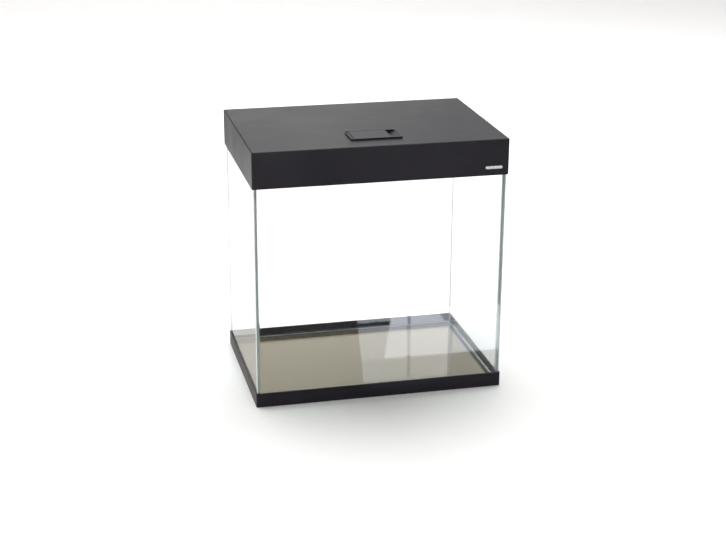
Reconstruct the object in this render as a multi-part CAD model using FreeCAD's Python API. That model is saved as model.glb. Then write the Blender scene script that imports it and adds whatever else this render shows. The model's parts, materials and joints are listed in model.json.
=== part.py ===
"""Desktop glass aquarium of about 40 litres, in millimetres.

Five float-glass panes bonded with silicone stand in a black moulded base frame. A black moulded hood
sits over the rim of the glass. It has a raised feeding hatch with a hinged door and a finger recess,
two cut-outs for hoses in its back wall, and an LED lamp that turns in two clips under its top.

Frame: +X to the right, +Y to the back, +Z up. The origin is the centre of the footprint, on the
surface that the tank stands on.
"""

import math
import os

import FreeCAD
import Part

OUT = "parts"
V = FreeCAD.Vector

# ---- Driving dimensions -------------------------------------------------------------------------

# Glass box
TANK_W = 408.0  # outside width, over the front pane
TANK_D = 281.0  # outside depth, over the front and back panes
GLASS_H = 380.0  # height of the four upright panes
GLASS_T = 5.0
ARRIS = 0.5  # ground edge of every pane
BOND = 1.0  # silicone between two panes
BEAD = 2.5  # leg of the silicone fillet inside each joint

# Base frame
FRAME_W = 412.0
FRAME_D = 285.0
FRAME_H = 24.0
FRAME_GAP = 0.2  # between the glass and the frame's skirt
LEDGE_TOP = 5.5  # the glass stands here
LEDGE_T = 3.0
LEDGE_IN = 5.0  # how far the ledge reaches past the inside of the glass
FLOOR_LIFT = 0.5  # from the ledge to the bottom pane, which rests on the mat
LIP_T = 2.0
FRAME_RIB_T = 2.0

# Hood
HOOD_W = 414.0
HOOD_D = 287.0
HOOD_WALL = 2.5
HOOD_CORNER_R = 2.5  # upright corners
HOOD_EDGE_R = 2.0  # round the top
HOOD_BOTTOM = 367.0
HOOD_TOP = 426.0
HOOD_RIB_T = 2.0
HOOD_RIB_IN = 9.0  # how far a rib reaches in from the wall
TOOTH_H = 5.0  # the tooth on each rib that drops inside the glass
TOOTH_T = 2.5

# Feeding hatch
HATCH_W = 84.0
HATCH_D = 50.0
HATCH_RISE = 3.0  # above the hood's top
HATCH_FRONT = 37.0  # from the hood's front to the hatch
DOOR_RIGHT = 23.6  # right edge of the door, from the middle of the hood
DOOR_T = 2.3
FRONT_GAP = 0.3  # round the door
BACK_GAP = 0.9
BARREL_R = 1.7
BARREL_DROP = 0.6  # the barrel lies a little below the door's top
PIN_R = 0.6

# Lamp
LAMP_Y = 20.0
LAMP_Z = 403.0
LAMP_R = 13.0
LAMP_LENGTH = 330.0
CAP_LENGTH = 14.0
CAP_R = 13.4
CLIP_GAP = 0.08  # radial clearance, so that the lamp turns in its clips
CLIP_X = 157.5
CHIP_COUNT = 18

# ---- Worked out from them -----------------------------------------------------------------------

IN_X = TANK_W / 2 - GLASS_T  # inside faces of the side panes
IN_Y = TANK_D / 2 - GLASS_T  # inside faces of the front and back panes
FLOOR_BOTTOM = LEDGE_TOP + FLOOR_LIFT
FLOOR_TOP = FLOOR_BOTTOM + GLASS_T
OPEN_W = 2 * (IN_X - LEDGE_IN)  # opening of the base frame
OPEN_D = 2 * (IN_Y - LEDGE_IN)
OPEN_R = 6.0
RIM_Z = LEDGE_TOP + GLASS_H
CEILING = HOOD_TOP - HOOD_WALL  # underside of the hood's top
HATCH_Y = -HOOD_D / 2 + HATCH_FRONT + HATCH_D / 2
HATCH_TOP = HOOD_TOP + HATCH_RISE


# ---- Helpers ------------------------------------------------------------------------------------


def block(x0, x1, y0, y1, z0, z1):
    """A box between two corners."""
    return Part.makeBox(x1 - x0, y1 - y0, z1 - z0, V(x0, y0, z0))


def centred(w, d, z0, z1, x=0.0, y=0.0):
    """A box centred on (x, y)."""
    return block(x - w / 2, x + w / 2, y - d / 2, y + d / 2, z0, z1)


def rod(radius, start, end):
    """A cylinder from one point to another."""
    axis = V(*end) - V(*start)
    return Part.makeCylinder(radius, axis.Length, V(*start), axis)


def prism(points, along):
    """A polygon extruded by a vector."""
    ring = [V(*p) for p in points]
    face = Part.Face(Part.makePolygon(ring + ring[:1]))
    return face.extrude(V(*along))


def joined(shapes):
    """The shapes fused into one solid."""
    whole = shapes[0]
    if len(shapes) > 1:
        whole = whole.multiFuse(shapes[1:])
    return whole.removeSplitter()


def upright_edges(shape, where=lambda p: True):
    """Straight vertical edges whose middle passes a test."""
    found = []
    for edge in shape.Edges:
        box = edge.BoundBox
        if box.XLength < 1e-6 and box.YLength < 1e-6 and where(box.Center):
            found.append(edge)
    return found


def edges_at(shape, z, where=lambda p: True):
    """Edges that lie wholly at one height."""
    found = []
    for edge in shape.Edges:
        box = edge.BoundBox
        if abs(box.ZMin - z) < 1e-6 and abs(box.ZMax - z) < 1e-6 and where(box.Center):
            found.append(edge)
    return found


def rounded_box(w, d, z0, z1, radius, x=0.0, y=0.0):
    """A box with its four upright edges rounded."""
    box = centred(w, d, z0, z1, x, y)
    return box.makeFillet(radius, upright_edges(box))


def mirrored_x(shape):
    return shape.mirror(V(0, 0, 0), V(1, 0, 0))


def mirrored_y(shape):
    return shape.mirror(V(0, 0, 0), V(0, 1, 0))


def save(name, shape):
    """Writes one node, and prints its solids and volume."""
    for solid in shape.Solids:
        if not solid.isValid():
            raise ValueError(name + " has a solid that isn't valid")
    shape.exportStep(os.path.join(OUT, name + ".step"))
    print(f"{name}: {len(shape.Solids)} solids, {shape.Volume / 1000:.1f} cm3")


# ---- Tank ---------------------------------------------------------------------------------------


def pane(x0, x1, y0, y1, z0, z1):
    """A glass pane with every edge ground to a small arris."""
    sheet = block(x0, x1, y0, y1, z0, z1)
    return sheet.makeChamfer(ARRIS, sheet.Edges)


def front_glass():
    return pane(-TANK_W / 2, TANK_W / 2, -TANK_D / 2, -IN_Y, LEDGE_TOP, RIM_Z)


def left_glass():
    half = IN_Y - BOND
    return pane(-TANK_W / 2, -IN_X, -half, half, LEDGE_TOP, RIM_Z)


def bottom_glass():
    x, y = IN_X - BOND, IN_Y - BOND
    return pane(-x, x, -y, y, FLOOR_BOTTOM, FLOOR_TOP)


def bead_profile(corner, across, up):
    """The hollow-faced triangle of a silicone fillet, with its right angle at corner and a leg each way."""
    corner, across, up = V(*corner), V(*across), V(*up)
    foot = corner + across * BEAD
    head = corner + up * BEAD
    hollow = corner + (across + up) * BEAD * 0.36
    edges = [
        Part.LineSegment(head, corner).toShape(),
        Part.LineSegment(corner, foot).toShape(),
        Part.Arc(foot, hollow, head).toShape(),
    ]
    return Part.Wire(edges)


def floor_silicone():
    """The bond round the bottom pane, with a fillet on top of it."""
    x, y = IN_X, IN_Y
    bond = centred(2 * x, 2 * y, FLOOR_BOTTOM, FLOOR_TOP)
    bond = bond.cut(centred(2 * (x - BOND), 2 * (y - BOND), FLOOR_BOTTOM - 1, FLOOR_TOP + 1))
    corners = [(-x, -y), (x, -y), (x, y), (-x, y), (-x, -y)]
    path = Part.makePolygon([V(px, py, FLOOR_TOP) for px, py in corners])
    pipe = Part.BRepOffsetAPI.MakePipeShell(path)
    pipe.setTransitionMode(1)
    pipe.add(bead_profile((-x, -y, FLOOR_TOP), (0, 1, 0), (0, 0, 1)))
    pipe.build()
    pipe.makeSolid()
    return bond.fuse(pipe.shape()).removeSplitter()


def corner_silicone(floor_bead):
    """The bond of the front left corner, with a fillet inside it that ends on the floor's own fillet."""
    bond = block(-TANK_W / 2 + 0.3, -IN_X, -IN_Y, -IN_Y + BOND, LEDGE_TOP, RIM_Z - 0.5)
    profile = bead_profile((-IN_X, -IN_Y, FLOOR_TOP), (1, 0, 0), (0, 1, 0))
    fillet = Part.Face(profile).extrude(V(0, 0, RIM_Z - 6.0 - FLOOR_TOP))
    return bond.fuse(fillet).cut(floor_bead).removeSplitter()


def base_frame():
    """A skirt round the foot of the glass, a ledge under it and an inner lip, stiffened by ribs below."""
    skirt = rounded_box(FRAME_W, FRAME_D, 0, FRAME_H, 3.0)
    skirt = skirt.makeFillet(0.8, edges_at(skirt, FRAME_H))
    pocket = centred(TANK_W + 2 * FRAME_GAP, TANK_D + 2 * FRAME_GAP, LEDGE_TOP, FRAME_H + 1)
    opening = rounded_box(OPEN_W, OPEN_D, -1, LEDGE_TOP + 1, OPEN_R)
    wall = (FRAME_W - TANK_W) / 2 - FRAME_GAP
    under = centred(FRAME_W - 2 * wall, FRAME_D - 2 * wall, -1, LEDGE_TOP - LEDGE_T)
    under = under.cut(rounded_box(OPEN_W + 2 * LIP_T, OPEN_D + 2 * LIP_T, -2, FRAME_H, OPEN_R + LIP_T))
    frame = skirt.cut(pocket).cut(opening).cut(under)
    out_x, out_y = FRAME_W / 2 - wall / 2, FRAME_D / 2 - wall / 2
    in_x, in_y = (OPEN_W + LIP_T) / 2, (OPEN_D + LIP_T) / 2
    half, top = FRAME_RIB_T / 2, LEDGE_TOP - LEDGE_T / 2
    ribs = []
    for x in range(-160, 161, 40):
        for y0, y1 in ((-out_y, -in_y), (in_y, out_y)):
            ribs.append(block(x - half, x + half, y0, y1, 0, top))
    for y in range(-100, 101, 40):
        for x0, x1 in ((-out_x, -in_x), (in_x, out_x)):
            ribs.append(block(x0, x1, y - half, y + half, 0, top))
    return joined([frame] + ribs)


def foam_mat():
    """The foam sheet that fills the frame's opening, under the bottom pane."""
    return rounded_box(OPEN_W - 1.0, OPEN_D - 1.0, 0.3, FLOOR_BOTTOM, OPEN_R - 0.5)


# ---- Hood ---------------------------------------------------------------------------------------

HOSE_CUT_X = 142.0  # middle of each hose cut-out, left and right
HOSE_CUT_W = 64.0
HOSE_CUT_TOP = 400.0
HOSE_CUT_R = 6.0
GROMMET_X = 78.0
GROMMET_Z = 404.0
GROMMET_HOLE_R = 6.0
GROMMET_FLANGE_R = 8.5
GROMMET_FLANGE_T = 1.5
GROMMET_BORE_R = 3.5
GROMMET_SEAT = 1.3  # depth of the counterbore that takes its outer flange
BADGE_X, BADGE_Z = 182.0, 380.0
BADGE_W, BADGE_H, BADGE_T = 28.0, 4.6, 0.4
GRID_H = 5.0  # ribs under the hood's top
BOSS_R = 4.0
BOSS_H = 4.0
SCREW_OUT = 15.0  # each lamp clip screw, from the lamp's middle
SCREW_R = 1.3
CAVITY_X = HOOD_W / 2 - HOOD_WALL
CAVITY_Y = HOOD_D / 2 - HOOD_WALL
BOSS_BOTTOM = CEILING - BOSS_H


def clip_screw_points():
    """Where the four screws of the lamp clips sit, as (x, y)."""
    return [(x, LAMP_Y + s * SCREW_OUT) for x in (-CLIP_X, CLIP_X) for s in (-1, 1)]


def rest_rib(wall_at, inward):
    """A rib's outline, across its wall: it stands on the glass rim, with a tooth inside the glass."""
    inner = wall_at + inward * HOOD_RIB_IN
    tooth = inner - inward * TOOTH_T
    return [
        (wall_at - inward, CEILING + 1),
        (wall_at - inward, RIM_Z),
        (tooth, RIM_Z),
        (tooth, RIM_Z - TOOTH_H),
        (inner, RIM_Z - TOOTH_H + 1.0),
        (inner, CEILING + 1),
    ]


def hood_ribs():
    """Ribs down the four walls, a grid under the top, and a boss for each clip screw."""
    parts = []
    half = HOOD_RIB_T / 2
    for side in (-1, 1):
        for x in (-185, -95, -50, 0, 50, 95, 185):
            outline = [(x - half, p, z) for p, z in rest_rib(side * CAVITY_Y, -side)]
            parts.append(prism(outline, (HOOD_RIB_T, 0, 0)))
        for y in (-110, -55, 0, 55, 110):
            outline = [(p, y - half, z) for p, z in rest_rib(side * CAVITY_X, -side)]
            parts.append(prism(outline, (0, HOOD_RIB_T, 0)))
    low, reach_x, reach_y = CEILING - GRID_H, CAVITY_X + 1, CAVITY_Y + 1
    for y in (-40.0, 70.0):
        parts.append(block(-reach_x, reach_x, y - half, y + half, low, CEILING + 1))
    for x in (-95.0, 95.0):
        parts.append(block(x - half, x + half, -reach_y, reach_y, low, CEILING + 1))
    for x, y in clip_screw_points():
        parts.append(rod(BOSS_R, (x, y, BOSS_BOTTOM), (x, y, CEILING + 1)))
    return parts


def hose_cut(x):
    """A cut-out in the back wall, open at the bottom, with two rounded upper corners."""
    y0, y1 = CAVITY_Y - 1, HOOD_D / 2 + 1
    notch = block(x - HOSE_CUT_W / 2, x + HOSE_CUT_W / 2, y0, y1, HOOD_BOTTOM - 1, HOSE_CUT_TOP)
    upper = [e for e in edges_at(notch, HOSE_CUT_TOP) if e.BoundBox.XLength < 1e-6]
    return notch.makeFillet(HOSE_CUT_R, upper)


def grommet_rod(radius, y0, y1):
    """A cylinder through the back wall, on the grommet's axis."""
    return rod(radius, (GROMMET_X, y0, GROMMET_Z), (GROMMET_X, y1, GROMMET_Z))


def hood_shell():
    """The hood: a box with no bottom, cut for the hatch, the hoses, the grommet, the badge and the screws."""
    outer = rounded_box(HOOD_W, HOOD_D, HOOD_BOTTOM, HOOD_TOP, HOOD_CORNER_R)
    outer = outer.makeFillet(HOOD_EDGE_R, edges_at(outer, HOOD_TOP))
    cavity = centred(2 * CAVITY_X, 2 * CAVITY_Y, HOOD_BOTTOM - 1, CEILING)
    shell = joined([outer.cut(cavity)] + hood_ribs())
    back, front = HOOD_D / 2, -HOOD_D / 2
    cuts = [
        centred(HATCH_BODY_W + 0.4, HATCH_BODY_D + 0.4, CEILING - 10, HOOD_TOP + 1, y=HATCH_Y),
        hose_cut(-HOSE_CUT_X),
        hose_cut(HOSE_CUT_X),
        grommet_rod(GROMMET_HOLE_R, CAVITY_Y - 1, back + 1),
        grommet_rod(GROMMET_FLANGE_R, back - GROMMET_SEAT, back + 1),
        badge_plate(front - 1, front + BADGE_T),
    ]
    for x, y in clip_screw_points():
        cuts.append(rod(SCREW_R, (x, y, BOSS_BOTTOM - 1), (x, y, CEILING + 1)))
    for cut in cuts:
        shell = shell.cut(cut)
    return shell.removeSplitter()


def badge_plate(y0, y1):
    """A strip with rounded ends, lying in the hood's front face."""
    radius = BADGE_H / 2
    straight = BADGE_W / 2 - radius
    parts = [block(BADGE_X - straight, BADGE_X + straight, y0, y1, BADGE_Z - radius, BADGE_Z + radius)]
    for x in (BADGE_X - straight, BADGE_X + straight):
        parts.append(rod(radius, (x, y0, BADGE_Z), (x, y1, BADGE_Z)))
    return joined(parts)


def front_badge():
    """A blank strip set flush in the hood's front."""
    return badge_plate(-HOOD_D / 2, -HOOD_D / 2 + BADGE_T)


def cable_grommet():
    """A rubber ring that grips the edge of its hole between two flanges."""
    back = HOOD_D / 2
    outer = grommet_rod(GROMMET_FLANGE_R, back - GROMMET_SEAT, back)
    outer = outer.makeFillet(0.6, [e for e in outer.Edges if abs(e.BoundBox.YMin - back) < 1e-6])
    neck = grommet_rod(GROMMET_HOLE_R, CAVITY_Y - GROMMET_FLANGE_T, back - GROMMET_SEAT)
    inner = grommet_rod(GROMMET_FLANGE_R, CAVITY_Y - GROMMET_FLANGE_T, CAVITY_Y)
    return joined([outer, neck, inner]).cut(grommet_rod(GROMMET_BORE_R, CAVITY_Y - 5, back + 1))


# ---- Feeding hatch ------------------------------------------------------------------------------

HATCH_BODY_BOTTOM = 412.0
HATCH_BODY_W = HATCH_W - 2.4
HATCH_BODY_D = HATCH_D - 5.0
FOOT_H, FOOT_IN = 0.9, 0.8  # the shadow gap between the rim and the hood
HOOK_W, HOOK_OUT, HOOK_TOP, HOOK_H = 12.0, 1.4, CEILING - 0.5, 3.5
SEAT_Z = HATCH_TOP - DOOR_T - 0.2  # where the door rests
POCKET_LEFT = -HATCH_W / 2 + 1.2
POCKET_RIGHT = DOOR_RIGHT + 0.4
POCKET_D = HATCH_D - 3.0
POCKET_FRONT = HATCH_Y - POCKET_D / 2
POCKET_BACK = HATCH_Y + POCKET_D / 2
BARREL_D = HATCH_BODY_D - 1.4
HINGE_X = POCKET_LEFT + 0.8 + BARREL_R
HINGE_Z = HATCH_TOP - BARREL_DROP - BARREL_R
PLATE_LEFT = HINGE_X + BARREL_R + 0.5
THROAT_X0, THROAT_X1, THROAT_D = -33.0, 17.0, 39.0
SCOOP_X0, SCOOP_X1, SCOOP_D = 20.0, 40.0, 44.0
SCOOP_BOTTOM = 422.4
SCOOP_RISE_X, SCOOP_RISE_Z = 33.0, 424.3  # a point on the curve of its floor
SCOOP_CORNER_R = 7.0


def hatch_block(x0, x1, depth, z0, z1):
    """A box centred on the hatch from front to back."""
    return block(x0, x1, HATCH_Y - depth / 2, HATCH_Y + depth / 2, z0, z1)


def hinge_rod(radius, depth):
    """A cylinder on the hinge line, centred on the hatch."""
    return rod(radius, (HINGE_X, HATCH_Y - depth / 2, HINGE_Z), (HINGE_X, HATCH_Y + depth / 2, HINGE_Z))


def scoop():
    """The space of the finger recess: deepest beside the door, and rising in a curve to the right."""
    top = HATCH_TOP + 1
    low, high = V(SCOOP_X0 + 1, 0, SCOOP_BOTTOM), V(SCOOP_X1, 0, HATCH_TOP)
    rise = V(SCOOP_RISE_X, 0, SCOOP_RISE_Z)
    left_low, left_top, right_top = V(SCOOP_X0, 0, SCOOP_BOTTOM), V(SCOOP_X0, 0, top), V(SCOOP_X1, 0, top)
    edges = [
        Part.LineSegment(left_top, left_low).toShape(),
        Part.LineSegment(left_low, low).toShape(),
        Part.Arc(low, rise, high).toShape(),
        Part.LineSegment(high, right_top).toShape(),
        Part.LineSegment(right_top, left_top).toShape(),
    ]
    space = Part.Face(Part.Wire(edges)).extrude(V(0, SCOOP_D, 0))
    space.translate(V(0, HATCH_Y - SCOOP_D / 2, 0))
    plan = hatch_block(SCOOP_X0, SCOOP_X1, SCOOP_D, SCOOP_BOTTOM - 1, top + 1)
    plan = plan.makeFillet(SCOOP_CORNER_R, upright_edges(plan, lambda p: p.x > SCOOP_X1 - 1))
    return space.common(plan)


def bezel_hooks():
    """Four wedges that snap under the hood's top."""
    hooks = []
    for side in (-1, 1):
        wall = HATCH_Y + side * HATCH_BODY_D / 2
        for x in (-24.0, 24.0):
            x0 = x - HOOK_W / 2
            outline = [
                (x0, wall - side, HOOK_TOP - HOOK_H),
                (x0, wall, HOOK_TOP - HOOK_H),
                (x0, wall + side * HOOK_OUT, HOOK_TOP),
                (x0, wall - side, HOOK_TOP),
            ]
            hooks.append(prism(outline, (HOOK_W, 0, 0)))
    return hooks


def hatch_bezel():
    """A raised rim on the hood, with a throat, a seat for the door, its pin's bore and the finger recess."""
    flange = rounded_box(HATCH_W, HATCH_D, HOOD_TOP + FOOT_H, HATCH_TOP, 2.5, y=HATCH_Y)
    flange = flange.makeFillet(0.5, edges_at(flange, HATCH_TOP))
    foot_w, foot_d = HATCH_W - 2 * FOOT_IN, HATCH_D - 2 * FOOT_IN
    foot = rounded_box(foot_w, foot_d, HOOD_TOP, HOOD_TOP + FOOT_H + 0.1, 2.0, y=HATCH_Y)
    body = centred(HATCH_BODY_W, HATCH_BODY_D, HATCH_BODY_BOTTOM, HOOD_TOP + 0.1, y=HATCH_Y)
    bezel = joined([flange, foot, body] + bezel_hooks())
    pin_hole = rod(PIN_R + 0.05, (HINGE_X, POCKET_FRONT - 1, HINGE_Z), (HINGE_X, POCKET_BACK + 2, HINGE_Z))
    scoop_left, scoop_right = SCOOP_X0 + 1.5, HATCH_BODY_W / 2 - 1.5
    cuts = [
        hatch_block(POCKET_LEFT, POCKET_RIGHT, POCKET_D, SEAT_Z, HATCH_TOP + 1),
        hatch_block(THROAT_X0, THROAT_X1, THROAT_D, HATCH_BODY_BOTTOM - 1, SEAT_Z + 1),
        hinge_rod(BARREL_R + 0.3, BARREL_D + 0.8),
        pin_hole,
        scoop(),
        hatch_block(scoop_left, scoop_right, SCOOP_D - 4, HATCH_BODY_BOTTOM - 1, SCOOP_BOTTOM - 1.8),
    ]
    for cut in cuts:
        bezel = bezel.cut(cut)
    return bezel.removeSplitter()


def hatch_door():
    """A flat door with a hinge barrel at its left end and a shallow rim that drops into the throat."""
    bottom = HATCH_TOP - DOOR_T
    plate = block(PLATE_LEFT, DOOR_RIGHT, POCKET_FRONT + FRONT_GAP, POCKET_BACK - BACK_GAP, bottom, HATCH_TOP)
    plate = plate.makeFillet(1.5, upright_edges(plate, lambda p: p.x > 0))
    plate = plate.makeFillet(0.4, edges_at(plate, HATCH_TOP))
    neck = hatch_block(HINGE_X, PLATE_LEFT + 1, BARREL_D, bottom, HATCH_TOP - BARREL_DROP - 0.4)
    rim_in, rim_t, rim_bottom = 1.5, 1.2, SEAT_Z - 2.0
    rim_x0, rim_x1, rim_d = THROAT_X0 + rim_in, THROAT_X1 - rim_in, THROAT_D - 2 * rim_in
    rim = hatch_block(rim_x0, rim_x1, rim_d, rim_bottom, bottom + 0.5)
    rim = rim.cut(hatch_block(rim_x0 + rim_t, rim_x1 - rim_t, rim_d - 2 * rim_t, rim_bottom - 1, bottom))
    door = joined([plate, neck, hinge_rod(BARREL_R, BARREL_D), rim])
    return door.cut(hinge_rod(PIN_R, HATCH_D))


def hatch_hinge_pin():
    """A steel pin fixed in the door's barrel. It reaches into the front and back of the bezel."""
    return rod(PIN_R, (HINGE_X, POCKET_FRONT - 0.8, HINGE_Z), (HINGE_X, POCKET_BACK + 1.2, HINGE_Z))


# ---- Lamp ---------------------------------------------------------------------------------------

TUBE_X = LAMP_LENGTH / 2 - CAP_LENGTH  # half the length between the end caps
TUBE_R = LAMP_R - 0.8  # the fins reach past it
TUBE_WALL = 1.6
SPLIT_Z = LAMP_Z - 2.0  # the housing ends here and the diffuser begins
SHELF_T = 1.5
BOARD_W, BOARD_T = 14.0, 1.6
BOARD_TOP = LAMP_Z + 2.0
BOARD_LENGTH = 2 * TUBE_X - 12.0
CHIP = 5.0
CHIP_T = 0.9
CAP_WALL = 3.0
SPIGOT_IN = 4.0  # how far each cap's spigot enters the tube
SPIGOT_T = 1.7
CAP_SCREW_OUT = 5.5
CAP_SCREW_Z = LAMP_Z + 7.5
CAP_SCREW_R = 1.15
CAP_HEAD_R = 2.2
CAP_HEAD_H = 1.6
CAP_THREAD = 6.0  # how far each cap screw enters the housing
GLAND_DROP = 3.0  # the gland, below the lamp's axis
CLIP_WIDTH, CLIP_WALL, CLIP_FOOT_T = 10.0, 2.1, 2.5
PAN_R, PAN_H = 2.7, 2.0


def lamp_rod(radius, x0, x1, y=LAMP_Y, z=LAMP_Z):
    """A cylinder along the lamp."""
    return rod(radius, (x0, y, z), (x1, y, z))


def lamp_ring(r_out, r_in, x0, x1):
    """A tube on the lamp's axis."""
    return lamp_rod(r_out, x0, x1).cut(lamp_rod(r_in, x0 - 1, x1 + 1))


def lamp_slab(z0, z1):
    """Everything between two heights, round the lamp."""
    return centred(LAMP_LENGTH, 4 * LAMP_R, z0, z1, y=LAMP_Y)


def cap_screw_points():
    """Where the two screws of a cap sit, as (y, z)."""
    return [(LAMP_Y + s * CAP_SCREW_OUT, CAP_SCREW_Z) for s in (-1, 1)]


def lamp_housing():
    """The upper part of the tube: an extrusion with fins, two screw ports and a shelf for the board."""
    shell = lamp_ring(TUBE_R, TUBE_R - TUBE_WALL, -TUBE_X, TUBE_X)
    parts = [shell.common(lamp_slab(SPLIT_Z, LAMP_Z + LAMP_R))]
    parts.append(centred(2 * TUBE_X, 2 * (LAMP_R - TUBE_WALL), BOARD_TOP, BOARD_TOP + SHELF_T, y=LAMP_Y))
    for angle in range(30, 151, 15):
        fin = centred(2 * TUBE_X, 1.2, LAMP_R - 2.2, LAMP_R)
        fin.rotate(V(0, 0, 0), V(1, 0, 0), angle - 90)
        fin.translate(V(0, LAMP_Y, LAMP_Z))
        parts.append(fin)
    for y, z in cap_screw_points():
        parts.append(lamp_rod(2.4, -TUBE_X, TUBE_X, y, z))
    housing = joined(parts)
    for y, z in cap_screw_points():
        housing = housing.cut(lamp_rod(CAP_SCREW_R + 0.05, -TUBE_X - 1, TUBE_X + 1, y, z))
    return housing


def lamp_diffuser():
    """The lower part of the tube, in frosted plastic."""
    tube = lamp_ring(TUBE_R, TUBE_R - TUBE_WALL, -TUBE_X, TUBE_X)
    return tube.common(lamp_slab(LAMP_Z - LAMP_R, SPLIT_Z))


def led_board():
    """A circuit board against the underside of the shelf."""
    return centred(BOARD_LENGTH, BOARD_W, BOARD_TOP - BOARD_T, BOARD_TOP, y=LAMP_Y)


def led_chips():
    """LEDs in a row along the underside of the board."""
    pitch = BOARD_LENGTH / CHIP_COUNT
    top = BOARD_TOP - BOARD_T
    chips = []
    for i in range(CHIP_COUNT):
        chips.append(centred(CHIP, CHIP, top - CHIP_T, top, (i - (CHIP_COUNT - 1) / 2) * pitch, LAMP_Y))
    return Part.makeCompound(chips)


def lamp_end_cap_left():
    """A round cap, hollow inside, with a spigot that enters the end of the tube."""
    outer_x, inner_x = -LAMP_LENGTH / 2, -TUBE_X
    spigot_r = TUBE_R - TUBE_WALL - 0.1
    cap = lamp_rod(CAP_R, outer_x, inner_x)
    cap = cap.makeFillet(1.5, [e for e in cap.Edges if abs(e.BoundBox.XMax - outer_x) < 1e-6])
    cap = cap.cut(lamp_rod(spigot_r - SPIGOT_T, outer_x + CAP_WALL, inner_x + 1))
    spigot = lamp_ring(spigot_r, spigot_r - SPIGOT_T, inner_x, inner_x + SPIGOT_IN)
    parts = [cap, spigot.common(lamp_slab(LAMP_Z - LAMP_R, BOARD_TOP - BOARD_T - 1.5))]
    for y, z in cap_screw_points():
        parts.append(lamp_rod(2.6, outer_x + 2, inner_x, y, z))
    cap = joined(parts)
    for y, z in cap_screw_points():
        cap = cap.cut(lamp_rod(CAP_SCREW_R + 0.1, outer_x - 1, inner_x + 1, y, z))
        cap = cap.cut(lamp_rod(CAP_HEAD_R + 0.1, outer_x - 1, outer_x + CAP_HEAD_H, y, z))
    return cap


def lamp_end_cap_right():
    """The left cap's mirror image, with a hole for the cable gland."""
    z = LAMP_Z - GLAND_DROP
    return mirrored_x(lamp_end_cap_left()).cut(lamp_rod(3.0, TUBE_X, LAMP_LENGTH / 2 + 1, LAMP_Y, z))


def lamp_cap_screws():
    """Two screws through each cap, into the ports of the housing."""
    screws = []
    for s in (-1, 1):
        end = s * LAMP_LENGTH / 2
        under_head, top = end - s * CAP_HEAD_H, end - s * 0.4
        for y, z in cap_screw_points():
            head = lamp_rod(CAP_HEAD_R, under_head, top, y, z)
            shank = lamp_rod(CAP_SCREW_R, top, end - s * (CAP_LENGTH + CAP_THREAD), y, z)
            slot = centred(1.2, 3.0, z - 0.35, z + 0.35, top, y)
            screws.append(joined([head, shank]).cut(slot))
    return Part.makeCompound(screws)


def lamp_cable_gland():
    """The ribbed nozzle that the lamp's lead comes out of."""
    end, z = LAMP_LENGTH / 2, LAMP_Z - GLAND_DROP
    steps = [(3.0, -6.0, 1.0), (4.6, 0.0, 3.0), (3.2, 2.5, 12.0)]
    steps += [(3.8, 5.0 + 2.6 * i, 6.2 + 2.6 * i) for i in range(3)]
    gland = joined([lamp_rod(r, end + x0, end + x1, LAMP_Y, z) for r, x0, x1 in steps])
    return gland.cut(lamp_rod(2.0, end - 7, end + 13, LAMP_Y, z))


def lamp_clip_left():
    """An open ring that snaps round the lamp's cap, hanging from a foot with two screw holes."""
    inner = CAP_R + CLIP_GAP
    x0, x1 = -CLIP_X - CLIP_WIDTH / 2, -CLIP_X + CLIP_WIDTH / 2
    ring = lamp_ring(inner + CLIP_WALL, inner, x0, x1)
    axis = (x0 - 1, LAMP_Y, LAMP_Z)
    mouth_corners = [axis, (x0 - 1, LAMP_Y - 40, LAMP_Z - 30), (x0 - 1, LAMP_Y + 40, LAMP_Z - 30)]
    ring = ring.cut(prism(mouth_corners, (CLIP_WIDTH + 2, 0, 0)))
    foot_bottom, foot_out = BOSS_BOTTOM - CLIP_FOOT_T, SCREW_OUT + 5
    foot = block(x0, x1, LAMP_Y - foot_out, LAMP_Y + foot_out, foot_bottom, BOSS_BOTTOM)
    neck = block(x0, x1, LAMP_Y - 5, LAMP_Y + 5, LAMP_Z + inner, BOSS_BOTTOM)
    clip = joined([ring, foot, neck]).cut(lamp_rod(inner, x0 - 1, x1 + 1))
    for x, y in clip_screw_points():
        clip = clip.cut(rod(SCREW_R + 0.3, (x, y, foot_bottom - 1), (x, y, BOSS_BOTTOM + 1)))
    return clip


def lamp_clip_screws():
    """Four pan-head screws that hold the clips to the hood's bosses."""
    foot_bottom = BOSS_BOTTOM - CLIP_FOOT_T
    screws = []
    for x, y in clip_screw_points():
        head = rod(PAN_R, (x, y, foot_bottom - PAN_H), (x, y, foot_bottom))
        head = head.makeFillet(0.8, edges_at(head, foot_bottom - PAN_H))
        shank = rod(SCREW_R - 0.05, (x, y, foot_bottom - 0.5), (x, y, CEILING - 0.3))
        screw = joined([head, shank])
        for w, d in ((3.4, 0.7), (0.7, 3.4)):
            screw = screw.cut(centred(w, d, foot_bottom - 3, foot_bottom - 1.1, x, y))
        screws.append(screw)
    return Part.makeCompound(screws)


# ---- Every node ---------------------------------------------------------------------------------


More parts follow.
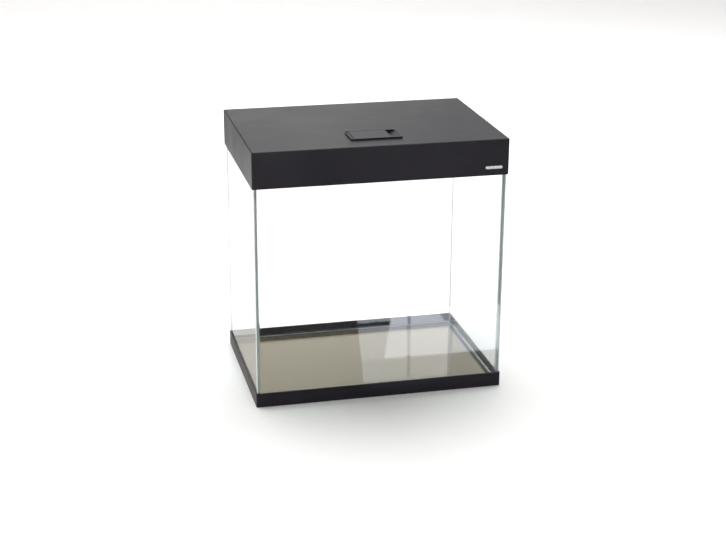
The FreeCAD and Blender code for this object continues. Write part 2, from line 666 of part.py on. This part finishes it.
def main():
    os.makedirs(OUT, exist_ok=True)
    front, left = front_glass(), left_glass()
    floor_bead = floor_silicone()
    corner = corner_silicone(floor_bead)
    clip = lamp_clip_left()
    nodes = {
        "base_frame": base_frame(),
        "foam_mat": foam_mat(),
        "bottom_glass": bottom_glass(),
        "front_glass": front,
        "back_glass": mirrored_y(front),
        "left_glass": left,
        "right_glass": mirrored_x(left),
        "floor_silicone": floor_bead,
        "front_left_silicone": corner,
        "front_right_silicone": mirrored_x(corner),
        "back_left_silicone": mirrored_y(corner),
        "back_right_silicone": mirrored_y(mirrored_x(corner)),
        "hood_shell": hood_shell(),
        "hatch_bezel": hatch_bezel(),
        "hatch_door": hatch_door(),
        "hatch_hinge_pin": hatch_hinge_pin(),
        "cable_grommet": cable_grommet(),
        "front_badge": front_badge(),
        "lamp_housing": lamp_housing(),
        "lamp_diffuser": lamp_diffuser(),
        "led_board": led_board(),
        "led_chips": led_chips(),
        "lamp_end_cap_left": lamp_end_cap_left(),
        "lamp_end_cap_right": lamp_end_cap_right(),
        "lamp_cap_screws": lamp_cap_screws(),
        "lamp_cable_gland": lamp_cable_gland(),
        "lamp_clip_left": clip,
        "lamp_clip_right": mirrored_x(clip),
        "lamp_clip_screws": lamp_clip_screws(),
    }
    for name, shape in nodes.items():
        save(name, shape)


main()
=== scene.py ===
"""The looks of the glass aquarium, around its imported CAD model. Metres, +Z up, front towards -Y."""

import json
import math

import bmesh
import bpy
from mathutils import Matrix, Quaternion, Vector


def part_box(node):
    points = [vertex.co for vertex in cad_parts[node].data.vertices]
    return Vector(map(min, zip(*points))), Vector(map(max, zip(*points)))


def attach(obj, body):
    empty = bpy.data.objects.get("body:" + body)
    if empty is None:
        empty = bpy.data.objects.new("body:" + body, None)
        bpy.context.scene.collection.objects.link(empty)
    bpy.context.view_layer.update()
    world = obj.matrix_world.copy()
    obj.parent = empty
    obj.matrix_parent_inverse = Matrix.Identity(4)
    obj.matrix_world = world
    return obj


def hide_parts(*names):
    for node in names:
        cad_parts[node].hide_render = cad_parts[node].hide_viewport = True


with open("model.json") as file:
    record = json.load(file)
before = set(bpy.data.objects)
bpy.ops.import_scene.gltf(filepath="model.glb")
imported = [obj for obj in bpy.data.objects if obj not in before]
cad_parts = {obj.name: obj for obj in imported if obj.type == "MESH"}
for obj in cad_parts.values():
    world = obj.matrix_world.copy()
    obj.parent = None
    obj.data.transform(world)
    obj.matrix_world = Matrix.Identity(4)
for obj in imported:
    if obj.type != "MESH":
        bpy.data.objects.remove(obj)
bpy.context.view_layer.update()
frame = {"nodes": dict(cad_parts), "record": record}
MM = 0.001

# ---- Places taken from the frame ----------------------------------------------------------------

IN_X = -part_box("left_glass")[1].x  # inside faces of the panes
IN_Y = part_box("back_glass")[0].y
OUT_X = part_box("right_glass")[1].x
SIDE_END_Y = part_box("left_glass")[1].y  # the side panes stop short of the front and back panes
FLOOR_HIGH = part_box("bottom_glass")[1].z  # the upper face of the bottom pane
RIM_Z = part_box("right_glass")[1].z


# ---- Node helpers -------------------------------------------------------------------------------


class Shader:
    """A material's node tree, with short calls for the nodes that the finishes below use."""

    def __init__(self, name):
        self.material = bpy.data.materials.new(name)
        self.material.use_nodes = True
        self.tree = self.material.node_tree
        self.tree.nodes.clear()
        self.out = self.tree.nodes.new("ShaderNodeOutputMaterial")

    def node(self, kind, links=(), **values):
        """A node with its socket values and its incoming links."""
        made = self.tree.nodes.new("ShaderNode" + kind)
        for key, value in values.items():
            if key in made.inputs:
                made.inputs[key].default_value = value
            elif key.replace("_", " ") in made.inputs:
                made.inputs[key.replace("_", " ")].default_value = value
            else:
                setattr(made, key, value)
        for socket, source in dict(links).items():
            self.tree.links.new(source, made.inputs[socket])
        return made

    def noise(self, scale, detail=3.0, roughness=0.5, stretch=(1, 1, 1)):
        """Noise over the object's own coordinates, in cycles a metre."""
        place = self.node("TexCoord").outputs["Object"]
        mapped = self.node("Mapping", {"Vector": place}, Scale=stretch)
        made = self.node("TexNoise", {"Vector": mapped.outputs["Vector"]}, Scale=scale)
        made.inputs["Detail"].default_value = detail
        made.inputs["Roughness"].default_value = roughness
        return made.outputs["Fac"]

    def ramp(self, source, low, high, start=0.35, end=0.65):
        """A factor spread between two numbers."""
        spread = self.node("MapRange", {"Value": source})
        for key, value in (("From Min", start), ("From Max", end), ("To Min", low), ("To Max", high)):
            spread.inputs[key].default_value = value
        return spread.outputs["Result"]

    def tint(self, source, dark, light, start=0.35, end=0.65):
        """A factor turned into a colour between two."""
        made = self.node("ValToRGB", {"Fac": source})
        first, last = made.color_ramp.elements
        first.position, first.color = start, (*dark, 1)
        last.position, last.color = end, (*light, 1)
        return made.outputs["Color"]

    def bump(self, source, distance, strength):
        """A bump from a height."""
        made = self.node("Bump", {"Height": source}, Distance=distance, Strength=strength)
        return made.outputs["Normal"]

    def show(self, shader):
        """The finished material, with this shader as its surface."""
        self.tree.links.new(shader.outputs[0], self.out.inputs["Surface"])
        return self.material


# ---- Materials ----------------------------------------------------------------------------------


RUBBED_GAIN = 1.4  # how much paler the rubbed edges are


def moulded_plastic(name, dark, light):
    """Satin moulded plastic: a fine eroded grain, slow variation in gloss, and rubbed edges."""
    s = Shader(name)
    cloud = s.noise(9.0, 4.0, 0.6)
    edge = s.node("Bevel", Radius=1.2 * MM, samples=4).outputs["Normal"]
    flat = s.node("NewGeometry").outputs["True Normal"]
    turn = s.node("VectorMath", {0: edge, 1: flat}, operation="DOT_PRODUCT").outputs["Value"]
    rubbed = s.ramp(turn, 1.0, 0.0, 0.90, 0.999)
    colour = s.tint(cloud, dark, light)
    worn = s.node("Mix", data_type="RGBA")
    s.tree.links.new(rubbed, worn.inputs["Factor"])
    s.tree.links.new(colour, worn.inputs["A"])
    worn.inputs["B"].default_value = (*[RUBBED_GAIN * c for c in light], 1)
    links = {
        "Base Color": worn.outputs["Result"],
        "Roughness": s.ramp(cloud, 0.30, 0.38),
        "Normal": s.bump(s.noise(1500.0, 2.0, 0.5), 0.03 * MM, 0.35),
    }
    return s.show(s.node("BsdfPrincipled", links, Specular_IOR_Level=0.21))


EDGE_TO_FACE = (0.80, 0.95)  # how squarely a spot looks along the pane's thin axis, from ground to polished


def clear_glass(axis):
    """Float glass, thin along one axis: polished faces with a few dust specks, and matt ground edges."""
    s = Shader("clear_glass_" + axis)
    dust = s.ramp(s.noise(40.0, 6.0, 0.7), 0.0, 0.03, 0.60, 0.9)
    normal = s.node("SeparateXYZ", {0: s.node("TexCoord").outputs["Normal"]}).outputs[axis]
    facing = s.node("Math", {0: normal}, operation="ABSOLUTE").outputs[0]
    ground = s.ramp(facing, 0.42, 0.0, *EDGE_TO_FACE)
    links = {
        "Base Color": s.tint(facing, (0.94, 0.99, 0.98), (1.0, 1.0, 1.0), *EDGE_TO_FACE),
        "Roughness": s.node("Math", {0: dust, 1: ground}, operation="MAXIMUM").outputs[0],
        "Transmission Weight": s.ramp(facing, 0.08, 1.0, *EDGE_TO_FACE),
    }
    glass = s.node("BsdfPrincipled", links, IOR=1.52)
    lamps = s.node("LightPath").outputs["Is Shadow Ray"]
    through = s.node("BsdfTransparent", Color=(0.90, 0.93, 0.92, 1.0))
    mix = s.node("MixShader", {0: lamps, 1: glass.outputs[0], 2: through.outputs[0]})
    depth = s.node("VolumeAbsorption", Color=(0.30, 0.78, 0.70, 1.0), Density=3.5)
    s.tree.links.new(depth.outputs[0], s.out.inputs["Volume"])
    return s.show(mix)


def clear_silicone():
    """Cured clear silicone: a little cloudy, with a smooth skin."""
    s = Shader("clear_silicone")
    cloud = s.noise(60.0, 2.0, 0.5)
    links = {
        "Base Color": s.tint(cloud, (0.88, 0.91, 0.90), (0.95, 0.97, 0.96)),
        "Roughness": s.ramp(cloud, 0.04, 0.10),
    }
    skin = s.node("BsdfPrincipled", links, Transmission_Weight=1.0, IOR=1.41)
    lamps = s.node("LightPath").outputs["Is Shadow Ray"]
    through = s.node("BsdfTransparent", Color=(0.88, 0.90, 0.89, 1.0))
    return s.show(s.node("MixShader", {0: lamps, 1: skin.outputs[0], 2: through.outputs[0]}))


def foam():
    """Closed-cell foam, dark olive brown, with a coarse cell texture."""
    s = Shader("mat_foam")
    cells = s.node("TexVoronoi", {"Vector": s.node("TexCoord").outputs["Object"]}, Scale=900.0)
    blotch = s.noise(14.0, 5.0, 0.6)
    links = {
        "Base Color": s.tint(blotch, (0.062, 0.042, 0.024), (0.076, 0.051, 0.030)),
        "Roughness": s.ramp(blotch, 0.86, 0.94),
        "Normal": s.bump(cells.outputs["Distance"], 0.15 * MM, 0.3),
    }
    return s.show(s.node("BsdfPrincipled", links, Specular_IOR_Level=0.25))


def rubber():
    s = Shader("black_rubber")
    cloud = s.noise(120.0, 3.0)
    links = {
        "Base Color": s.tint(cloud, (0.012, 0.012, 0.013), (0.022, 0.022, 0.023)),
        "Roughness": s.ramp(cloud, 0.55, 0.72),
        "Normal": s.bump(s.noise(900.0), 0.04 * MM, 0.5),
    }
    return s.show(s.node("BsdfPrincipled", links, Specular_IOR_Level=0.35))


def steel():
    s = Shader("bright_steel")
    lines = s.noise(900.0, 2.0, 0.5, (0.15, 1, 1))
    links = {
        "Base Color": s.tint(lines, (0.52, 0.52, 0.54), (0.68, 0.68, 0.69)),
        "Roughness": s.ramp(lines, 0.20, 0.36),
    }
    return s.show(s.node("BsdfPrincipled", links, Metallic=1.0))


def anodised():
    """Satin anodised extrusion, with draw lines along the lamp."""
    s = Shader("lamp_aluminium")
    lines = s.noise(1200.0, 2.0, 0.5, (0.004, 1, 1))
    links = {
        "Base Color": s.tint(lines, (0.56, 0.57, 0.59), (0.70, 0.71, 0.73)),
        "Roughness": s.ramp(lines, 0.30, 0.46),
        "Normal": s.bump(lines, 0.02 * MM, 0.5),
    }
    return s.show(s.node("BsdfPrincipled", links, Metallic=1.0))


def frosted():
    s = Shader("frosted_plastic")
    cloud = s.noise(200.0, 3.0)
    links = {
        "Base Color": s.tint(cloud, (0.84, 0.85, 0.86), (0.92, 0.93, 0.94)),
        "Roughness": s.ramp(cloud, 0.42, 0.55),
    }
    return s.show(s.node("BsdfPrincipled", links, Transmission_Weight=0.55, IOR=1.49))


def board():
    """White solder mask, with a faint pattern of copper below it."""
    s = Shader("board_white")
    copper = s.node("TexBrick", {"Vector": s.node("TexCoord").outputs["Object"]}, Scale=120.0)
    copper.inputs["Color1"].default_value = (0.80, 0.81, 0.79, 1)
    copper.inputs["Color2"].default_value = (0.84, 0.85, 0.83, 1)
    copper.inputs["Mortar"].default_value = (0.70, 0.72, 0.69, 1)
    links = {"Base Color": copper.outputs["Color"], "Roughness": s.ramp(s.noise(300.0), 0.28, 0.40)}
    return s.show(s.node("BsdfPrincipled", links))


def phosphor():
    s = Shader("led_yellow")
    cloud = s.noise(800.0, 2.0)
    links = {
        "Base Color": s.tint(cloud, (0.80, 0.58, 0.10), (0.90, 0.70, 0.18)),
        "Roughness": s.ramp(cloud, 0.30, 0.45),
    }
    return s.show(s.node("BsdfPrincipled", links))


def pale_trim():
    """A pale strip, printed a little unevenly."""
    s = Shader("pale_trim")
    cloud = s.noise(300.0, 3.0)
    links = {
        "Base Color": s.tint(cloud, (0.72, 0.73, 0.75), (0.84, 0.85, 0.86)),
        "Roughness": s.ramp(cloud, 0.24, 0.36),
    }
    return s.show(s.node("BsdfPrincipled", links))


def light_plastic(name, dark, light):
    s = Shader(name)
    cloud = s.noise(70.0, 4.0)
    links = {
        "Base Color": s.tint(cloud, dark, light),
        "Roughness": s.ramp(cloud, 0.34, 0.48),
        "Normal": s.bump(s.noise(1300.0, 2.0), 0.02 * MM, 0.35),
    }
    return s.show(s.node("BsdfPrincipled", links, Specular_IOR_Level=0.4))


BLACK_DARK, BLACK_LIGHT = (0.0235, 0.0215, 0.0280), (0.0285, 0.0260, 0.0340)
FINISHES = {
    "black_plastic": moulded_plastic("black_plastic", BLACK_DARK, BLACK_LIGHT),
    "silicone": clear_silicone(),
    "mat_foam": foam(),
    "black_rubber": rubber(),
    "bright_steel": steel(),
    "lamp_aluminium": anodised(),
    "frosted_plastic": frosted(),
    "board_white": board(),
    "led_yellow": phosphor(),
    "pale_trim": pale_trim(),
    "cap_plastic": light_plastic("cap_plastic", (0.42, 0.43, 0.45), (0.50, 0.51, 0.53)),
    "clip_plastic": light_plastic("clip_plastic", (0.66, 0.67, 0.68), (0.76, 0.77, 0.78)),
}

PANE_AXES = {
    "front_glass": "Y",
    "back_glass": "Y",
    "left_glass": "X",
    "right_glass": "X",
    "bottom_glass": "Z",
}
PANES = {axis: clear_glass(axis) for axis in "XYZ"}

for part in frame["record"]["subparts"]:
    node = part["node"]
    mesh = frame["nodes"][node].data
    mesh.materials.clear()
    mesh.materials.append(PANES[PANE_AXES[node]] if node in PANE_AXES else FINISHES[part["material_slot"]])


# ---- Pieces made here ---------------------------------------------------------------------------


def piece(name, build, slot, body, node, smooth_angle):
    """A mesh piece with a finish, riding on a body, in place of a CAD node."""
    mesh = bpy.data.meshes.new(name)
    shape = bmesh.new()
    build(shape)
    bmesh.ops.recalc_face_normals(shape, faces=shape.faces)
    shape.to_mesh(mesh)
    shape.free()
    made = bpy.data.objects.new(name, mesh)
    bpy.context.scene.collection.objects.link(made)
    mesh.materials.append(FINISHES[slot])
    mesh.shade_smooth()
    mesh.set_sharp_from_angle(angle=math.radians(smooth_angle))
    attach(made, body)
    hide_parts(node)
    return made


def wander(t, seed):
    """A smooth number between about -1 and 1 that changes slowly along a bead."""
    slow = math.sin(9.1 * t + seed)
    middle = 0.6 * math.sin(23.7 * t + 2.3 * seed)
    quick = 0.4 * math.sin(51.0 * t + seed * seed)
    return (slow + middle + quick) / 2


def bridge(shape, rings, closed_ends):
    """Quads between rings of vertices, capped at both ends or joined into a loop."""
    rows = [[shape.verts.new(p) for p in ring] for ring in rings]
    following = rows[1:] if closed_ends else rows[1:] + rows[:1]
    for a, b in zip(rows, following):
        for i in range(len(a)):
            j = (i + 1) % len(a)
            shape.faces.new((a[i], a[j], b[j], b[i]))
    if closed_ends:
        shape.faces.new(rows[0])
        shape.faces.new(rows[-1])


BEAD = 2.4 * MM  # legs of the fillets
CLEAR = 0.06 * MM  # between a bead and the glass
BOND_IN = 0.7 * MM  # the bond stops this far inside the outer faces
BEAD_ABOVE_FLOOR = 0.7 * BEAD  # a corner bead starts in the floor bead
BEAD_BELOW_RIM = 1.2 * MM
TIP_LEG = 0.3 * MM  # a corner bead's legs at its very top
TIP_SHARE = 1 / 40  # the share of its length over which they shrink to that
CORNER_WANDER = 0.025  # how unevenly a bead is drawn, as a share of its leg
FLOOR_WANDER = 0.008
CORNER_RINGS = 70
SIDE_RINGS = 60
FILLET_STEPS = 7


def fillet_profile(leg):
    """Points of a hollow fillet from the end of one leg to the end of the other, as (a, b)."""
    points = []
    for i in range(FILLET_STEPS + 1):
        turn = math.pi / 2 * i / FILLET_STEPS
        points.append((leg * (1 - math.sin(turn)) + CLEAR, leg * (1 - math.cos(turn)) + CLEAR))
    return points


def corner_bead(sx, sy, seed):
    """The bond and fillet of one upright corner."""

    def build(shape):
        low, high = FLOOR_HIGH + BEAD_ABOVE_FLOOR, RIM_Z - BEAD_BELOW_RIM
        near_x, far_x = IN_X + CLEAR, OUT_X - BOND_IN
        near_y, far_y = IN_Y - CLEAR, SIDE_END_Y + CLEAR
        bond = [(near_x, near_y), (far_x, near_y), (far_x, far_y), (near_x, far_y)]
        rings = []
        for k in range(CORNER_RINGS + 1):
            t = k / CORNER_RINGS
            leg = BEAD * (1 + CORNER_WANDER * wander(t, seed))
            fade = min(1.0, (1 - t) / TIP_SHARE) ** 0.5
            curve = fillet_profile(max(leg * fade, TIP_LEG))
            ring = [(IN_X - a, IN_Y - b) for a, b in curve] + bond
            rings.append([(sx * x, sy * y, low + (high - low) * t) for x, y in ring])
        bridge(shape, rings, True)

    return build


def floor_bead(shape):
    """The fillet round the bottom pane, mitred at its corners."""
    rings = []
    corners = [(-1, -1), (1, -1), (1, 1), (-1, 1)]
    for side, (sx, sy) in enumerate(corners):
        nx, ny = corners[(side + 1) % 4]
        for k in range(SIDE_RINGS):
            t = k / SIDE_RINGS
            leg = BEAD * (1 + FLOOR_WANDER * wander(side + t, 5.0) * math.sin(math.pi * t))
            profile = fillet_profile(leg) + [(CLEAR, CLEAR)]
            ring = []
            for inset, up in profile:
                x = IN_X - inset
                y = IN_Y - inset
                ring.append((x * (sx + (nx - sx) * t), y * (sy + (ny - sy) * t), FLOOR_HIGH + up))
            rings.append(ring)
    bridge(shape, rings, False)


MAT_PRESSED = 0.15 * MM  # the glass presses the mat down by this
MAT_CORNER = 5.5 * MM
MAT_EDGE = 0.8 * MM
LEVEL = 1e-6  # an edge with less rise than this is level


def foam_sheet(shape):
    """The foam mat: a thin sheet with soft edges, a hair below the glass that presses on it."""
    low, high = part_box("foam_mat")
    top = high.z - MAT_PRESSED
    bmesh.ops.create_cube(shape, size=1.0)
    centre = Vector(((low.x + high.x) / 2, (low.y + high.y) / 2, (low.z + top) / 2))
    size = Vector((high.x - low.x, high.y - low.y, top - low.z))
    for v in shape.verts:
        v.co = Vector(centre[i] + v.co[i] * size[i] for i in range(3))
    upright = [e for e in shape.edges if abs(e.verts[0].co.z - e.verts[1].co.z) > LEVEL]
    bmesh.ops.bevel(shape, geom=upright, offset=MAT_CORNER, segments=6, profile=0.5, affect="EDGES")
    flat = [e for e in shape.edges if abs(e.verts[0].co.z - e.verts[1].co.z) < LEVEL]
    bmesh.ops.bevel(shape, geom=flat, offset=MAT_EDGE, segments=3, profile=0.5, affect="EDGES")


mat = piece("foam_sheet", foam_sheet, "mat_foam", "tank", "foam_mat", 40)
piece("floor_bead", floor_bead, "silicone", "tank", "floor_silicone", 50)
for name, sx, sy, seed in (
    ("front_left", -1, -1, 1.0),
    ("front_right", 1, -1, 2.0),
    ("back_left", -1, 1, 3.0),
    ("back_right", 1, 1, 4.0),
):
    piece(name + "_bead", corner_bead(sx, sy, seed), "silicone", "tank", name + "_silicone", 50)


# ---- Studio -------------------------------------------------------------------------------------


def aim(thing, back, spin=0.0):
    """Turns a lamp or camera so that its back points along a vector, and then spins it about that."""
    thing.rotation_mode = "QUATERNION"
    thing.rotation_quaternion = (-back).to_track_quat("-Z", "Y")
    thing.rotation_quaternion.rotate(Quaternion(back, spin))


def sweep():
    """A pale floor that curves up into walls, near behind the object and far off on its other sides."""
    half, front, back = 12.0, -12.0, 3.2
    radius, height, steps = 1.6, 4.5, 16
    rings = []
    for i in range(steps + 1):
        turn = math.pi / 2 * i / steps
        rings.append((radius * math.sin(turn), radius * (1 - math.cos(turn))))
    rings.append((radius, height))

    def corners(out, z):
        x, y0, y1 = half + out, front - out, back + out
        return [(-x, y0, z), (x, y0, z), (x, y1, z), (-x, y1, z)]

    mesh = bpy.data.meshes.new("studio_sweep")
    shape = bmesh.new()
    shape.faces.new([shape.verts.new(p) for p in corners(0.0, 0.0)])
    for side in range(4):
        rows = []
        for out, z in rings:
            ring = corners(out, z)
            rows.append([shape.verts.new(ring[side]), shape.verts.new(ring[(side + 1) % 4])])
        for a, b in zip(rows, rows[1:]):
            shape.faces.new((a[0], a[1], b[1], b[0]))
    shape.to_mesh(mesh)
    shape.free()
    mesh.shade_smooth()
    made = bpy.data.objects.new("studio_sweep", mesh)
    bpy.context.scene.collection.objects.link(made)
    s = Shader("studio_paper")
    cloud = s.noise(3.0, 4.0)
    links = {
        "Base Color": s.tint(cloud, (0.875, 0.875, 0.875), (0.885, 0.885, 0.885)),
        "Roughness": s.ramp(cloud, 0.8, 0.9),
    }
    mesh.materials.append(s.show(s.node("BsdfPrincipled", links, Specular_IOR_Level=0.1)))


def reflection_card(name, corners, radiance):
    """A flat card that only reflections show: clear to the camera, to shadows and through glass."""
    mesh = bpy.data.meshes.new(name)
    mesh.from_pydata(corners, [], [tuple(range(len(corners)))])
    made = bpy.data.objects.new(name, mesh)
    bpy.context.scene.collection.objects.link(made)
    s = Shader(name)
    mirrored = s.node("LightPath").outputs["Glossy Depth"]
    seen = s.node("Math", {0: mirrored}, operation="COMPARE")  # one mirroring, so not along inside a pane
    seen.inputs[1].default_value = 1.0
    seen.inputs[2].default_value = 0.5
    glow = s.node("Emission", Color=(*radiance, 1.0), Strength=1.0)
    clear = s.node("BsdfTransparent")
    mix = s.node("MixShader", {0: seen.outputs[0], 1: clear.outputs[0], 2: glow.outputs[0]})
    mesh.materials.append(s.show(mix))
    made.visible_shadow = False


NEUTRAL = (1.0, 1.0, 1.0)
WALL = (1.0, 1.07, 1.18)
WINDOW = (0.96, 1.0, 1.11)
HOOD_SKY = (1.0, 1.03, 0.97)
BACKDROP = (1.45, 1.34, 1.10)
BEHIND_HOOD = (0.22, 0.44, 1.25)  # y, and the lowest and highest z, of cards that the hood's top mirrors
LEFT_OF_TANK = -0.209  # x, just clear of the hood
FLOOR_CARD_Z, PATCH_Z, BAR_Z = 0.002, 0.004, 0.006  # stacked, so that the bars cover the window
BAR_NEAR, BAR_FAR = 0.003, 0.0035  # half widths of a bar at its two ends


def lit(colour, level):
    """A colour at a brightness."""
    return tuple(level * c for c in colour)


def x_on(line, y):
    """Where a line on the floor, given by two points, crosses a y."""
    (x0, y0), (x1, y1) = line
    return x0 + (x1 - x0) * (y - y0) / (y1 - y0)


def window_light():
    """What the front pane mirrors: a bright window between its walls, as its light falls on the floor."""
    near, middle, rail, far, end = -0.185, -0.278, -0.428, -0.449, -0.495
    wall_left = ((-0.015, -0.193), (0.043, -0.489))
    wall_right = ((0.134, -0.193), (0.199, -0.393))
    window_left = ((0.042, -0.278), (0.111, -0.490))
    corner = ((0.196, rail), (0.196, end))
    window_right = ((0.32, middle), (0.32, end))
    glazing_bar = ((0.062, -0.188), (0.142, -0.482))
    patches = (
        ("near_wall_left", near, middle, wall_left, glazing_bar, WALL, 1.25),
        ("near_wall_right", near, middle, glazing_bar, wall_right, WALL, 1.10),
        ("middle_wall", middle, rail, wall_left, window_left, WALL, 1.7),
        ("far_wall", far, end, wall_left, window_left, WALL, 2.5),
        ("middle_window", middle, rail, window_left, wall_right, WINDOW, 3.7),
        ("far_window", rail, end, window_left, corner, WINDOW, 5.2),
        ("middle_edge", middle, rail, wall_right, window_right, WINDOW, 3.0),
        ("far_edge", rail, end, corner, window_right, WINDOW, 2.6),
    )
    for name, y0, y1, left, right, colour, level in patches:
        ends = ((left, y0), (right, y0), (right, y1), (left, y1))
        corners = [(x_on(line, y), y, PATCH_Z) for line, y in ends]
        reflection_card("card_" + name, corners, lit(colour, level))
    bars = (
        ("near", near, middle, glazing_bar, 0.3),
        ("middle", middle, rail, glazing_bar, 1.9),
        ("far", rail, end, glazing_bar, 2.2),
        ("edge", middle, rail, wall_right, 1.8),
    )
    for name, y0, y1, line, level in bars:
        ends = ((y0, -BAR_NEAR), (y0, BAR_NEAR), (y1, BAR_FAR), (y1, -BAR_FAR))
        corners = [(x_on(line, y) + dx, y, BAR_Z) for y, dx in ends]
        reflection_card("card_bar_" + name, corners, lit(WALL, level))


def upright_card(name, x0, x1, y, z0, z1, radiance):
    """A card that faces the front."""
    reflection_card(name, [(x0, y, z0), (x1, y, z0), (x1, y, z1), (x0, y, z1)], radiance)


def floor_card(name, x0, x1, y0, y1, radiance):
    """A card that lies on the floor."""
    z = FLOOR_CARD_Z
    reflection_card(name, [(x0, y0, z), (x1, y0, z), (x1, y1, z), (x0, y1, z)], radiance)


def surroundings():
    """The rest of what the tank mirrors: a warm backdrop, a dim floor at the left and a dark one in front."""
    bands, low, fade_from, fade_to, high = 6, 0.9, 0.98, 1.26, 2.6
    heights = [fade_from + (fade_to - fade_from) * i / bands for i in range(1, bands)]
    heights = [low] + heights + [high]
    for i, (z0, z1) in enumerate(zip(heights, heights[1:])):
        level = 1.05 - 0.10 * i / (bands - 1)
        upright_card("card_backdrop_%d" % i, -0.6, 3.2, 2.6, z0, z1, lit(BACKDROP, level))
    steps, left, fade_from, fade_to, right = 7, -0.195, 0.0, 0.21, 1.1
    edges = [fade_from + (fade_to - fade_from) * i / steps for i in range(steps + 1)]
    edges = [left] + edges + [right]
    for i, (x0, x1) in enumerate(zip(edges, edges[1:])):
        level = 0.80 - 0.29 * i / (len(edges) - 2)
        upright_card("card_over_hood_%d" % i, x0, x1, *BEHIND_HOOD, lit(HOOD_SKY, level))
    for name, front, back, radiance in (
        ("near", -1.2, 0.167, (0.60, 0.57, 0.53)),
        ("middle", 0.167, 0.23, (0.90, 0.87, 0.85)),
        ("far", 0.23, 1.0, (1.25, 1.25, 1.25)),
        ("farther", 1.0, 1.45, (1.0, 1.0, 1.0)),
        ("farthest", 1.45, 3.2, (0.6, 0.6, 0.6)),
    ):
        floor_card("card_left_" + name, -3.0, LEFT_OF_TANK, front, back, radiance)
    floor_card("card_front_near", LEFT_OF_TANK, 3.0, -1.0, -0.146, lit(NEUTRAL, 0.05))
    floor_card("card_front_far", LEFT_OF_TANK, 3.0, -3.5, -1.0, lit(NEUTRAL, 0.18))
    upright_card("card_beside_hood", -0.7, left, *BEHIND_HOOD, lit(NEUTRAL, 0.04))


def sky():
    """White studio light all round, dimmer towards the front."""
    world = bpy.data.worlds.new("studio_sky")
    bpy.context.scene.world = world
    world.use_nodes = True
    tree = world.node_tree
    tree.nodes.clear()
    out = tree.nodes.new("ShaderNodeOutputWorld")
    light = tree.nodes.new("ShaderNodeBackground")
    place = tree.nodes.new("ShaderNodeTexCoord")
    split = tree.nodes.new("ShaderNodeSeparateXYZ")
    ramp = tree.nodes.new("ShaderNodeMapRange")
    for key, value in (("From Min", -0.6), ("From Max", 0.4), ("To Min", 0.45), ("To Max", 1.0)):
        ramp.inputs[key].default_value = value
    tree.links.new(place.outputs["Generated"], split.inputs[0])
    tree.links.new(split.outputs["Y"], ramp.inputs["Value"])
    tree.links.new(ramp.outputs["Result"], light.inputs["Strength"])
    light.inputs["Color"].default_value = (1.0, 0.985, 0.96, 1.0)
    tree.links.new(light.outputs[0], out.inputs["Surface"])


def softbox(name, place, target, width, height, power):
    """An area light that faces a target. Its power is in watts."""
    lamp = bpy.data.lights.new(name, "AREA")
    lamp.shape, lamp.size, lamp.size_y = "RECTANGLE", width, height
    lamp.energy = power
    made = bpy.data.objects.new(name, lamp)
    bpy.context.scene.collection.objects.link(made)
    made.location = place
    aim(made, (Vector(place) - Vector(target)).normalized())


def camera():
    """The viewing angle: a little to the left, and looking down."""
    azimuth, elevation, roll = math.radians(-13.549), math.radians(19.707), math.radians(0.356)
    distance, target = 2.5733, Vector((0.0036, 0.0, 0.1689))
    back = Vector((
        math.sin(azimuth) * math.cos(elevation),
        -math.cos(azimuth) * math.cos(elevation),
        math.sin(elevation),
    ))
    data = bpy.data.cameras.new("camera")
    data.lens, data.sensor_width = 75.28, 36.0
    data.clip_start, data.clip_end = 0.05, 50.0
    made = bpy.data.objects.new("camera", data)
    bpy.context.scene.collection.objects.link(made)
    made.location = target + back * distance
    aim(made, back, roll)
    bpy.context.scene.camera = made


sweep()
sky()
softbox("top_softbox", (0.0, 1.2, 3.0), (0.0, 0.5, 0.0), 3.2, 2.4, 125.0)
surroundings()
window_light()
camera()
bpy.context.scene.view_settings.view_transform = "Standard"
